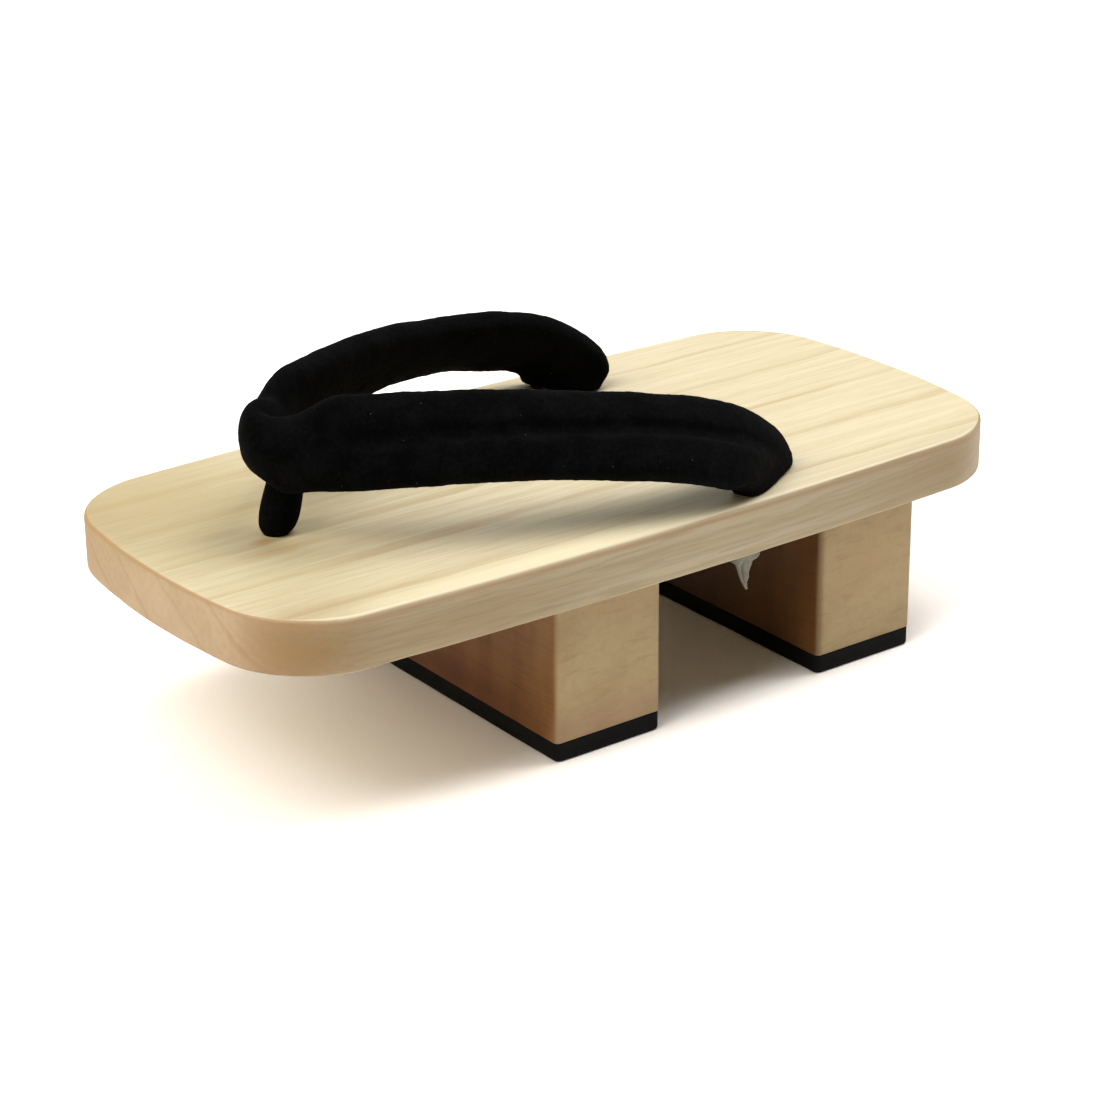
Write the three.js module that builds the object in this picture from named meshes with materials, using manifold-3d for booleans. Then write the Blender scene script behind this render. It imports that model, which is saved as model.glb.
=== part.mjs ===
// A geta sandal: a wooden foot board on two wooden teeth, held on by a padded strap.
// Millimetres. +X points to the toe, +Y to the wearer's left, +Z up; the origin is on the floor,
// under the middle of the board. The two sides mirror each other, so it fits either foot.
import * as THREE from 'three';
import { mergeVertices } from 'three/addons/utils/BufferGeometryUtils.js';
import Module from 'manifold-3d';

const wasm = await Module();
wasm.setup();

// Driving dimensions
const boardLength = 240;
const boardWidth = 114;
const boardThick = 14.4;
const boardSideRadius = 1880;
const boardEndRadius = 223;
const boardCornerRadius = 27;
const boardTopEdge = 2.2;
const boardUnderEdge = 1;

const standHeight = 41.8;
const treadThick = 5.2;
const toothLength = 33;
const toothWidth = 107.6;
const toothTaper = 0.5;
const toothCornerRadius = 1.6;
const toothFrontX = 21.8;
const toothRearX = -63.6;
const treadProud = 0.4;
const treadEdge = 1;
const blockBow = 6000;

const holeRadius = 4.8;
const frontHole = { x: 83.5, y: 0 };
const rearHole = { x: -30.5, y: 46 };
const rearHoles = [rearHole, { x: rearHole.x, y: -rearHole.y }];

const clearance = 0.3;
const neckRadius = 4.4;
const neckDepth = 6;
const neckRise = 2;
const cordRadius = 4.2;

const boardBottom = standHeight;
const boardTop = standHeight + boardThick;

// Sections of the strap's left band from its round front end, which is pressed against the right
// band's at the toe, to the left rear hole. Each row gives the middles of the lower and the upper roll
// (x, y and the height above the board), half the band's thickness, the depth of the groove between
// the rolls, and how square the section is (2 is an ellipse).
const strapSections = [
  { lower: [91.0, -1.8, 23.0], upper: [90.6, -1.8, 26.0], half: 1.4, groove: 0.0, square: 2.0 },
  { lower: [88.0, 1.2, 20.6], upper: [87.0, 0.8, 28.4], half: 4.6, groove: 0.0, square: 2.0 },
  { lower: [82.0, 7.6, 17.8], upper: [79.6, 6.8, 30.2], half: 5.7, groove: 0.4, square: 2.2 },
  { lower: [70.4, 19.2, 18.7], upper: [67.4, 14.4, 30.6], half: 5.0, groove: 1.6, square: 2.6 },
  { lower: [46.0, 33.2, 19.4], upper: [42.2, 26.4, 29.9], half: 5.0, groove: 2.2, square: 2.7 },
  { lower: [22.0, 43.2, 17.8], upper: [18.0, 35.3, 26.8], half: 5.0, groove: 2.2, square: 2.7 },
  { lower: [-1.5, 51.0, 14.0], upper: [-7.0, 41.0, 22.0], half: 5.0, groove: 2.2, square: 2.7 },
  { lower: [-17.0, 53.2, 9.4], upper: [-25.4, 42.2, 16.8], half: 5.0, groove: 2.2, square: 2.7 },
  { lower: [-22.6, 52.0, 5.6], upper: [-39.4, 40.2, 10.0], half: 5.0, groove: 2.0, square: 2.7 },
  { lower: [-24.4, 50.6, 2.4], upper: [-43.6, 39.8, 3.4], half: 4.8, groove: 1.4, square: 2.6 },
  { lower: [-26.0, 49.4, 0.2], upper: [-40.4, 41.0, 0.2], half: 4.0, groove: 0.6, square: 2.4 },
];
const grooveShare = 0.2;
const stepsPerSection = 4;
const ringSides = 28;

// Profile of the toe post, as radius and height above the board
const toePostProfile = [
  { radius: 0, rise: -neckDepth },
  { radius: cordRadius, rise: -neckDepth },
  { radius: cordRadius, rise: 0.6 },
  { radius: 4.6, rise: 3 },
  { radius: 4.8, rise: 7 },
  { radius: 4.6, rise: 12 },
  { radius: 4, rise: 16 },
  { radius: 0, rise: 18 },
];

// Profile of a knot, as radius and depth under the board, and of the two ways that it ends below
const knotProfile = [
  { radius: 6, depth: clearance },
  { radius: 7.5, depth: 2.6 },
  { radius: 6.8, depth: 5.2 },
];
const plainEnd = [
  { radius: 3.6, depth: 7.4 },
  { radius: 0, depth: 7.8 },
];
const tailEnd = [
  { radius: 4.4, depth: 7.8 },
  { radius: 2.6, depth: 11.4 },
  { radius: 0, depth: 16 },
];

// Fineness of the faceted curves
const roundSides = 32;
const boardSteps = { end: 6, corner: 9, side: 4 };
const blockSteps = { end: 1, corner: 4, side: 1 };
const broadEdgeSteps = 4;
const fineEdgeSteps = 2;

// Wood, rubber, velvet and cord
const straw = new THREE.MeshStandardMaterial({ color: '#d9c79c', roughness: 0.55, metalness: 0 });
const warmWood = new THREE.MeshStandardMaterial({ color: '#b89a6b', roughness: 0.65, metalness: 0 });
const rubber = new THREE.MeshStandardMaterial({ color: '#1b1a1a', roughness: 0.8, metalness: 0 });
const velvet = new THREE.MeshStandardMaterial({ color: '#0d0d0f', roughness: 0.95, metalness: 0 });
const cord = new THREE.MeshStandardMaterial({ color: '#b9b3a4', roughness: 0.9, metalness: 0 });

// A closed geometry through rings of equally many points, each end closed by a fan
function loft(rings) {
  const sides = rings[0].length;
  const points = rings.flat();
  const faces = [];
  for (let ring = 0; ring < rings.length - 1; ring += 1) {
    for (let side = 0; side < sides; side += 1) {
      const next = (side + 1) % sides;
      const a = ring * sides + side;
      const b = ring * sides + next;
      faces.push(a, b, b + sides, a, b + sides, a + sides);
    }
  }
  const last = (rings.length - 1) * sides;
  const startMiddle = points.length;
  const endMiddle = startMiddle + 1;
  for (const ring of [rings[0], rings.at(-1)]) {
    const middle = ring.reduce((sum, point) => sum.add(point), new THREE.Vector3());
    points.push(middle.divideScalar(sides));
  }
  for (let side = 0; side < sides; side += 1) {
    const next = (side + 1) % sides;
    faces.push(startMiddle, next, side, endMiddle, last + side, last + next);
  }
  const geometry = new THREE.BufferGeometry().setFromPoints(points);
  geometry.setIndex(faces);
  return geometry;
}

// Joining and cutting
function toSolid(geometry) {
  const bare = geometry.clone();
  bare.deleteAttribute('normal');
  bare.deleteAttribute('uv');
  const merged = mergeVertices(bare, 1e-4);
  return new wasm.Manifold(new wasm.Mesh({
    numProp: 3,
    vertProperties: new Float32Array(merged.attributes.position.array),
    triVerts: new Uint32Array(merged.index.array),
  }));
}

function toGeometry(solid) {
  const mesh = solid.getMesh();
  const geometry = new THREE.BufferGeometry();
  geometry.setAttribute('position', new THREE.BufferAttribute(mesh.vertProperties, mesh.numProp));
  geometry.setIndex(new THREE.BufferAttribute(mesh.triVerts, 1));
  geometry.computeVertexNormals();
  return geometry;
}

// A turned solid about a vertical axis, from rows of radius and height
function turned(profile, place) {
  const outline = profile.map(({ radius, z }) => new THREE.Vector2(radius, z));
  const geometry = new THREE.LatheGeometry(outline, roundSides);
  geometry.rotateX(Math.PI / 2);
  geometry.translate(place.x, place.y, 0);
  return geometry;
}

function upright(radius, bottom, top, place) {
  const profile = [
    { radius: 0, z: bottom },
    { radius, z: bottom },
    { radius, z: top },
    { radius: 0, z: top },
  ];
  return toSolid(turned(profile, place));
}

// Outline of a rectangle with bowed sides and round corners, drawn in by an inset.
// Each quarter is an end arc, a corner arc and a side arc that run into each other.
function bowedOutline(shape, inset, arcSteps) {
  const { halfLength, halfWidth, endRadius, sideRadius, cornerRadius } = shape;
  const endMiddle = new THREE.Vector2(halfLength - endRadius, 0);
  const sideMiddle = new THREE.Vector2(0, halfWidth - sideRadius);
  const toEnd = endRadius - cornerRadius;
  const toSide = sideRadius - cornerRadius;
  const between = endMiddle.clone().sub(sideMiddle);
  const apart = between.length();
  const along = (toSide ** 2 - toEnd ** 2 + apart ** 2) / (2 * apart);
  const across = Math.sqrt(toSide ** 2 - along ** 2);
  const direction = between.divideScalar(apart);
  const corner = new THREE.Vector2(
    sideMiddle.x + direction.x * along + direction.y * across,
    sideMiddle.y + direction.y * along - direction.x * across,
  );
  const endTurn = corner.clone().sub(endMiddle).angle();
  const sideTurn = corner.clone().sub(sideMiddle).angle();
  const arcs = [
    { middle: endMiddle, radius: endRadius, from: 0, to: endTurn, steps: arcSteps.end },
    { middle: corner, radius: cornerRadius, from: endTurn, to: sideTurn, steps: arcSteps.corner },
    { middle: sideMiddle, radius: sideRadius, from: sideTurn, to: Math.PI / 2, steps: arcSteps.side },
  ];
  const quarter = [];
  for (const { middle, radius, from, to, steps } of arcs) {
    for (let step = 0; step < steps; step += 1) {
      const turn = from + ((to - from) * step) / steps;
      const reach = radius - inset;
      quarter.push([middle.x + reach * Math.cos(turn), middle.y + reach * Math.sin(turn)]);
    }
  }
  quarter.push([0, halfWidth - inset]);
  const back = quarter.slice(0, -1).reverse().map(([x, y]) => [-x, y]);
  const half = [...quarter, ...back];
  const otherHalf = half.slice(1, -1).map(([x, y]) => [-x, -y]);
  return [...half, ...otherHalf];
}

// Rows of height and inset that round an upright wall into its end face
function edgeRows(edge, edgeZ, sign, steps) {
  const rows = [];
  for (let step = 0; step <= steps; step += 1) {
    const turn = (Math.PI / 2) * (step / steps);
    rows.push({
      z: edgeZ - sign * edge * (1 - Math.sin(turn)),
      inset: edge * (1 - Math.cos(turn)),
    });
  }
  return rows;
}

// A stack of parallel outlines
function stack(shape, rows, arcSteps, shift = 0) {
  const rings = rows.map(({ z, inset }) => (
    bowedOutline(shape, inset, arcSteps).map(([x, y]) => new THREE.Vector3(x + shift, y, z))
  ));
  return loft(rings);
}

// Foot board with its rounded edges and three holes
function makeBoard() {
  const shape = {
    halfLength: boardLength / 2,
    halfWidth: boardWidth / 2,
    endRadius: boardEndRadius,
    sideRadius: boardSideRadius,
    cornerRadius: boardCornerRadius,
  };
  const rows = [
    ...edgeRows(boardUnderEdge, boardBottom, -1, fineEdgeSteps).reverse(),
    ...edgeRows(boardTopEdge, boardTop, 1, broadEdgeSteps),
  ];
  let solid = toSolid(stack(shape, rows, boardSteps));
  for (const hole of [frontHole, ...rearHoles]) {
    solid = solid.subtract(upright(holeRadius, 0, boardTop + boardThick, hole));
  }
  return toGeometry(solid);
}

// Teeth are blocks that draw in a little towards the floor, with a rubber tread under each
function blockShape(grow) {
  return {
    halfLength: toothLength / 2 + grow,
    halfWidth: toothWidth / 2 + grow,
    endRadius: blockBow,
    sideRadius: blockBow,
    cornerRadius: toothCornerRadius,
  };
}

function makeTooth(middleX) {
  const rows = [
    { z: treadThick, inset: toothTaper },
    { z: standHeight, inset: 0 },
  ];
  return stack(blockShape(0), rows, blockSteps, middleX);
}

function makeTread(middleX) {
  const rows = [
    ...edgeRows(treadEdge, 0, -1, fineEdgeSteps).reverse(),
    { z: treadThick, inset: 0 },
  ];
  return stack(blockShape(treadProud - toothTaper), rows, blockSteps, middleX);
}

// Curves through the strap's sections: one along each roll, and one for the section's form
function strapCurves() {
  const through = (points) => new THREE.CatmullRomCurve3(points, false, 'catmullrom', 0.5);
  const raised = ([x, y, rise]) => new THREE.Vector3(x, y, boardTop + rise);
  return {
    lower: through(strapSections.map(({ lower }) => raised(lower))),
    upper: through(strapSections.map(({ upper }) => raised(upper))),
    form: through(strapSections.map(({ half, groove, square }) => new THREE.Vector3(half, groove, square))),
  };
}

// One cross-section of the band: a flat oval with a groove along its outer face
function bandRing(curves, t, grow) {
  const lower = curves.lower.getPoint(t);
  const upper = curves.upper.getPoint(t);
  const form = curves.form.getPoint(t);
  const middle = lower.clone().add(upper).divideScalar(2);
  const across = upper.clone().sub(lower);
  const halfWidth = across.length() / 2 + form.x + grow;
  const halfThick = form.x + grow;
  across.normalize();
  const along = curves.lower.getTangent(t).add(curves.upper.getTangent(t)).normalize();
  const outward = new THREE.Vector3().crossVectors(across, along).normalize().negate();
  const round = (value) => Math.sign(value) * Math.abs(value) ** (2 / form.z);
  const ring = [];
  for (let side = 0; side < ringSides; side += 1) {
    const turn = (2 * Math.PI * (side + 0.5)) / ringSides;
    const reach = round(Math.cos(turn));
    const dip = Math.sin(turn) > 0 ? form.y * Math.exp(-((reach / grooveShare) ** 2)) : 0;
    ring.push(middle.clone()
      .addScaledVector(across, reach * halfWidth)
      .addScaledVector(outward, round(Math.sin(turn)) * halfThick - dip));
  }
  return ring;
}

// Both bands, joined at the toe, with a neck that goes down each rear hole
function strapSolid(grow) {
  const curves = strapCurves();
  const steps = (strapSections.length - 1) * stepsPerSection;
  const rings = [];
  for (let step = 0; step <= steps; step += 1) {
    rings.push(bandRing(curves, step / steps, grow));
  }
  const left = loft(rings);
  const right = loft(rings.map((ring) => ring.map(({ x, y, z }) => new THREE.Vector3(x, -y, z)).reverse()));
  const under = new THREE.BoxGeometry(boardLength, 2 * boardWidth, boardThick);
  under.translate(0, 0, boardTop + clearance - boardThick / 2);
  let solid = toSolid(left).add(toSolid(right)).subtract(toSolid(under));
  for (const hole of rearHoles) {
    solid = solid.add(upright(neckRadius, boardTop - neckDepth, boardTop + neckRise, hole));
  }
  return solid;
}

// The toe post reaches up to the underside of the joined bands
function makeToePost() {
  const profile = toePostProfile.map(({ radius, rise }) => ({ radius, z: boardTop + rise }));
  return toGeometry(toSolid(turned(profile, frontHole)).subtract(strapSolid(clearance)));
}

// Knot of a cord under its hole, with the cord filling the hole above it
function makeKnot(place, end) {
  const cordTop = boardTop - neckDepth - clearance;
  const profile = [
    { radius: 0, z: cordTop },
    { radius: cordRadius, z: cordTop },
    { radius: cordRadius, z: boardBottom - clearance },
    ...[...knotProfile, ...end].map(({ radius, depth }) => ({ radius, z: boardBottom - depth })),
  ];
  return turned(profile.reverse(), place);
}

// Assembly
const sandal = new THREE.Group();
function addPiece(name, geometry, material) {
  const mesh = new THREE.Mesh(geometry, material);
  mesh.name = name;
  sandal.add(mesh);
}

addPiece('board', makeBoard(), straw);
addPiece('tooth_front', makeTooth(toothFrontX), warmWood);
addPiece('tooth_rear', makeTooth(toothRearX), warmWood);
addPiece('tread_front', makeTread(toothFrontX), rubber);
addPiece('tread_rear', makeTread(toothRearX), rubber);
addPiece('strap', toGeometry(strapSolid(0)), velvet);
addPiece('toe_post', makeToePost(), velvet);
addPiece('knot_front', makeKnot(frontHole, plainEnd), cord);
addPiece('knot_rear_left', makeKnot(rearHoles[0], tailEnd), cord);
addPiece('knot_rear_right', makeKnot(rearHoles[1], tailEnd), cord);

export default sandal;
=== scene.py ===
"""Looks of a wooden geta sandal: a pale board on two teeth, rubber treads and a padded black strap."""
import math
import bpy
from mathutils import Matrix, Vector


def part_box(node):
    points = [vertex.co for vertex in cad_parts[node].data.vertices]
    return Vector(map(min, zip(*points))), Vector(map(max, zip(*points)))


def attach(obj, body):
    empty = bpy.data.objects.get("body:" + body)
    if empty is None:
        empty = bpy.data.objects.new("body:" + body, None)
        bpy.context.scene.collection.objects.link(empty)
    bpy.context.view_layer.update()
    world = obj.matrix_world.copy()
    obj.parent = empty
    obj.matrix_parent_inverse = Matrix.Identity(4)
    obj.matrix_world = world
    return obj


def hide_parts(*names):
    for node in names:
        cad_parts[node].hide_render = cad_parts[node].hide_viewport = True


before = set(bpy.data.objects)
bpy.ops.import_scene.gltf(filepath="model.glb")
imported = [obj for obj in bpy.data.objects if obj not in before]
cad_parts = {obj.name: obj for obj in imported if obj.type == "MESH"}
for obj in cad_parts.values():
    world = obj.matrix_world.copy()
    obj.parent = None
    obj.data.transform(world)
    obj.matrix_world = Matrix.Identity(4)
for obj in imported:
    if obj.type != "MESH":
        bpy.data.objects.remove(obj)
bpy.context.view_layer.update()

from types import SimpleNamespace

import bpy
import numpy as np
from mathutils import Matrix, Vector, noise

# Units and axes: sizes are in millimetres until a mesh is made
MM = 0.001
X_AXIS, Y_AXIS = 0, 1
MIRROR = (1, -1, 1)

# Noise: the first seed, and how far the noise moves from one seed to the next
SEED = 7
SEED_STEP = (17.3, 5.1, 9.7)


def node_box(name):
    """Lowest and highest corner of a CAD node in millimetres."""
    low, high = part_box(name)
    return np.array(low) / MM, np.array(high) / MM


# Sizes read from the frame
board_low, board_high = node_box("board")
BOARD_TOP = board_high[2]
BOARD_BOTTOM = board_low[2]
BOARD_HALF_LENGTH = board_high[0]
BOARD_HALF_WIDTH = board_high[1]

# Outline of the board and places of its holes, as in the frame
BOARD_END_RADIUS = 223.0
BOARD_SIDE_RADIUS = 1880.0
BOARD_CORNER_RADIUS = 27.0
FRONT_HOLE = (83.5, 0.0)
REAR_HOLE = (-30.5, 46.0)
REAR_HOLES = (REAR_HOLE, (REAR_HOLE[0], -REAR_HOLE[1]))

# Holes, which close round the cord, and edges, of which the board's upper one is finer than in the frame
FRONT_HOLE_RADIUS = 3.3
REAR_HOLE_RADIUS = 2.4
HOLE_MARGIN = 20.0
BOARD_TOP_EDGE = 1.2
BOARD_UNDER_EDGE = 1.0
TOOTH_CORNER_RADIUS = 1.6
TOOTH_TOP_EDGE = 0.25
TOOTH_UNDER_EDGE = 0.35
TREAD_TOP_EDGE = 0.25
TREAD_UNDER_EDGE = 1.0
SHARP_ANGLE = math.radians(40)

# Unevenness of the edges: how much they vary, in long waves and in a share of short ones
EDGE_UNEVEN = 0.22
LONG_WAVE = 14.0
SHORT_WAVE = 3.5
SHORT_WAVE_SHARE = 0.5

# Fineness of the board, teeth and treads: points along each stretch, and where a flat face begins, in edges
END_STEPS = 30
CORNER_STEPS = 28
SIDE_STEPS = 60
UNDER_EDGE_STEPS = 6
TOP_EDGE_STEPS = 8
FACE_INSET = 1.6
BLOCK_CORNER_POINTS = 9
BLOCK_SIDE_STEP = 3.0
BLOCK_SHORT_SIDE = 5.0
LEAST_RADIUS = 0.05

# Sections of the left band from the fold at the toe to the rear hole: the middle of its lower and upper
# roll as x, y and height over the board, half its thickness, how square it is, and its groove's depth and
# place, from 0 at the middle to 1 at the upper edge
STRAP_SECTIONS = (
    ((85.2, 0.0, 19.2), (87.2, 0.0, 26.4), 5.2, 2.0, 0.0, 0.0),
    ((82.4, 6.6, 17.8), (81.4, 6.6, 26.8), 5.3, 2.1, 0.2, 0.0),
    ((76.8, 13.4, 18.3), (74.2, 12.0, 31.0), 5.2, 2.3, 0.9, 0.0),
    ((68.8, 20.4, 18.8), (65.6, 16.0, 31.0), 5.0, 2.6, 1.6, 0.0),
    ((46.0, 33.2, 19.2), (42.2, 26.4, 29.9), 5.0, 2.7, 2.2, 0.0),
    ((22.0, 43.2, 17.4), (18.0, 35.3, 26.8), 5.0, 2.7, 2.2, 0.0),
    ((-1.5, 51.0, 13.2), (-7.0, 41.0, 22.0), 5.0, 2.7, 2.2, 0.0),
    ((-17.0, 53.0, 7.8), (-25.0, 42.4, 16.3), 5.0, 2.7, 1.7, 0.0),
    ((-22.0, 52.2, 4.8), (-37.2, 41.2, 9.1), 4.9, 2.9, 0.6, 0.1),
    ((-25.0, 50.6, 1.8), (-42.2, 41.0, 3.0), 4.6, 3.4, 0.0, 0.2),
    ((-25.8, 50.4, -1.5), (-43.4, 41.0, -1.5), 4.4, 3.8, 0.0, 0.2),
)
GROOVE_SHARE = 0.15
STRAP_STEPS = 20
STRAP_SIDES = 80
STRAP_OVERLAP = 4
STRAP_GRID = 0.55
STRAP_SMOOTHING = 4
STRAP_CLEARANCE = 0.3
STRAP_FOOT_SOFTNESS = 0.6

# Lumps of the strap's padding, as the size and the depth of each kind
STRAP_LUMPS = ((9.0, 0.26), (3.0, 0.12), (1.1, 0.09))

# How the strap has settled: the fold dips on the left, and on the right it stands up in front and sags
# behind. The right half hangs a little at its front, and its end stands taller and further in and narrows
# to its hole.
FOLD_DIP = 1.0
FOLD_RISE = 1.8
FOLD_SAG = 2.0
RIGHT_HANG = 1.5
RIGHT_END_SHIFT = (-0.5, 4.2)
RIGHT_END_LIFT = 2.4
RIGHT_END_ARCH = 1.2
RIGHT_END_TAPER = 0.38
RIGHT_END_MIDDLE = -34.0

# Where the strap has settled. ALONG and ACROSS give the middle and the width of a stretch. FORWARD to the
# toe, BACK to the heel, ASIDE to the right and HEIGHT over the board give the two ends of a slope.
RISE_ALONG = (85.0, 7.0)
RISE_ACROSS = (-5.0, 5.0)
RISE_HEIGHT = (18.0, 28.0)
DIP_FORWARD = (76.0, 87.0)
DIP_ACROSS = (5.0, 4.0)
SAG_ALONG = (78.0, 6.0)
SAG_ASIDE = (3.0, 9.0)
SAG_HEIGHT = (20.0, 27.0)
HANG_ALONG = (40.0, 24.0)
HANG_HEIGHT = (15.0, 24.0)
END_BACK = (-12.0, 26.0)
END_HEIGHT = (0.0, 6.0)
ARCH_ALONG = (-20.0, 6.0)
ARCH_HEIGHT = (6.0, 17.0)
TAPER_BACK = (2.0, 20.0)
TAPER_FRONT_HEIGHT = (0.0, 9.0)
TAPER_REAR_HEIGHT = (0.0, 4.0)

# Toe post: how far it leans back, and its profile as rows of radius and height over the board
POST_LEAN = -4.6
POST_HEIGHT = 18.0
POST_ROWS = (
    (2.9, -6.0), (2.9, -1.0), (3.0, 0.0), (3.9, 0.8), (4.6, 2.0),
    (5.0, 4.0), (5.1, 6.5), (4.9, 10.0), (4.5, 14.0), (3.4, POST_HEIGHT),
)
POST_STEPS = 10
POST_LUMP_SIZE = 5.0
POST_LUMP_DEPTH = 0.2
POST_SEED = SEED + 3

# Cord of a knot, as x and y from its hole and height from the board's underside: how it comes down, how
# it winds and how it stops
KNOT_SHIFT = 3.0
CORD_RADIUS = 1.6
CORD_STEPS = 8
CORD_START = ((0.0, 0.0, 8.0), (0.0, 0.0, 3.0), (0.6, 0.0, 0.2), (2.0, 0.6, -1.4))
CORD_STOP = ((KNOT_SHIFT + 1.2, 0.4, -5.6), (KNOT_SHIFT + 0.2, 0.2, -6.2))
COIL_POINTS = 19
COIL_FIRST_TURN = 20
COIL_STEP_TURN = 40
COIL_RADIUS = 3.6
COIL_NARROWING = 0.9
COIL_TOP = -2.0
COIL_DEPTH = 3.2

# Tail of a knot: loose strands that start spread out under it and run towards one tip
TAIL_STRANDS = 14
TAIL_POINTS = 16
TAIL_TOP = -5.2
TAIL_SPREAD = 2.3
TAIL_TIP = (KNOT_SHIFT - 2.4, -1.0, -15.4)
TAIL_BEND = (3.2, 0.0, 0.0)
TAIL_TURN_SHARE = 0.618
TAIL_MEAN_LENGTH = 0.82
TAIL_LENGTH_CHANGE = 0.18
TAIL_LENGTH_TURN = 2.4
TAIL_THICK = 1.0
TAIL_THIN = 0.35

# A direction that no cord starts along
ASKEW = (0.31, 0.77, 0.55)


# Mesh helpers
def soft_floor(value, limit, softness):
    """The value, held above a limit by a rounded corner."""
    rest = value - limit
    return limit + 0.5 * (rest + np.sqrt(rest * rest + softness * softness))


def ramp(value, low, high):
    """0 below low and 1 above high, with a smooth rise between."""
    share = np.clip((value - low) / (high - low), 0, 1)
    return share * share * (3 - 2 * share)


def swell(value, middle, width):
    """1 at the middle, falling off softly over the width."""
    return np.exp(-((value - middle) / width) ** 2)


def catmull(points, steps, lead=None):
    """Points along a smooth curve through rows of numbers, which may have a row that leads up to them."""
    rows = np.asarray(points, float)
    lead = 2 * rows[0] - rows[1] if lead is None else lead
    rows = np.vstack([lead, rows, 2 * rows[-1] - rows[-2]])
    shares = np.linspace(0, 1, steps, endpoint=False)[:, None]
    curve = []
    for a, b, c, d in zip(rows[:-3], rows[1:-2], rows[2:-1], rows[3:]):
        curve.append(0.5 * (2 * b + (c - a) * shares + (2 * a - 5 * b + 4 * c - d) * shares ** 2
                            + (3 * b - a - 3 * c + d) * shares ** 3))
    curve.append(rows[-2:-1])
    return np.vstack(curve)


def skin(rings):
    """Points and faces of a closed skin through rings of equally many points."""
    count, sides = rings.shape[:2]
    faces = []
    for ring in range(count - 1):
        for side in range(sides):
            following = (side + 1) % sides
            a = ring * sides + side
            b = ring * sides + following
            faces.append((a, b, b + sides, a + sides))
    last = (count - 1) * sides
    faces.append(tuple(reversed(range(sides))))
    faces.append(tuple(range(last, last + sides)))
    return rings.reshape(-1, 3), faces


def joined(parts):
    """Several skins as one set of points and faces."""
    points, faces, start = [], [], 0
    for part_points, part_faces in parts:
        points.append(part_points)
        faces.extend(tuple(start + index for index in face) for face in part_faces)
        start += len(part_points)
    return np.vstack(points), faces


def mirrored(part):
    """A skin mirrored to the other side of the sandal, with its faces turned to point out."""
    points, faces = part
    return points * MIRROR, [tuple(reversed(face)) for face in faces]


def lumps(points, size, seed):
    """Smooth noise from -1 to 1 at each point, with bumps of about that size."""
    shift = Vector([seed * step for step in SEED_STEP])
    return np.array([noise.noise(Vector(point) / size + shift) for point in points])


def make_object(name, part):
    """An object in the scene from points and faces."""
    points, faces = part
    mesh = bpy.data.meshes.new(name)
    mesh.from_pydata((points * MM).tolist(), [], faces)
    mesh.shade_smooth()
    made = bpy.data.objects.new(name, mesh)
    bpy.context.scene.collection.objects.link(made)
    return made


def make_piece(name, part, material, slot, *nodes):
    """A piece of the sandal that stands for CAD nodes."""
    piece = make_object(name, part)
    piece.data.materials.append(material)
    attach(piece, "root")
    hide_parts(*nodes)
    return piece


def keep_modified(piece):
    """Puts what a piece's modifiers make into its mesh."""
    graph = bpy.context.evaluated_depsgraph_get()
    mesh = bpy.data.meshes.new_from_object(piece.evaluated_get(graph))
    piece.modifiers.clear()
    piece.data = mesh


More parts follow.
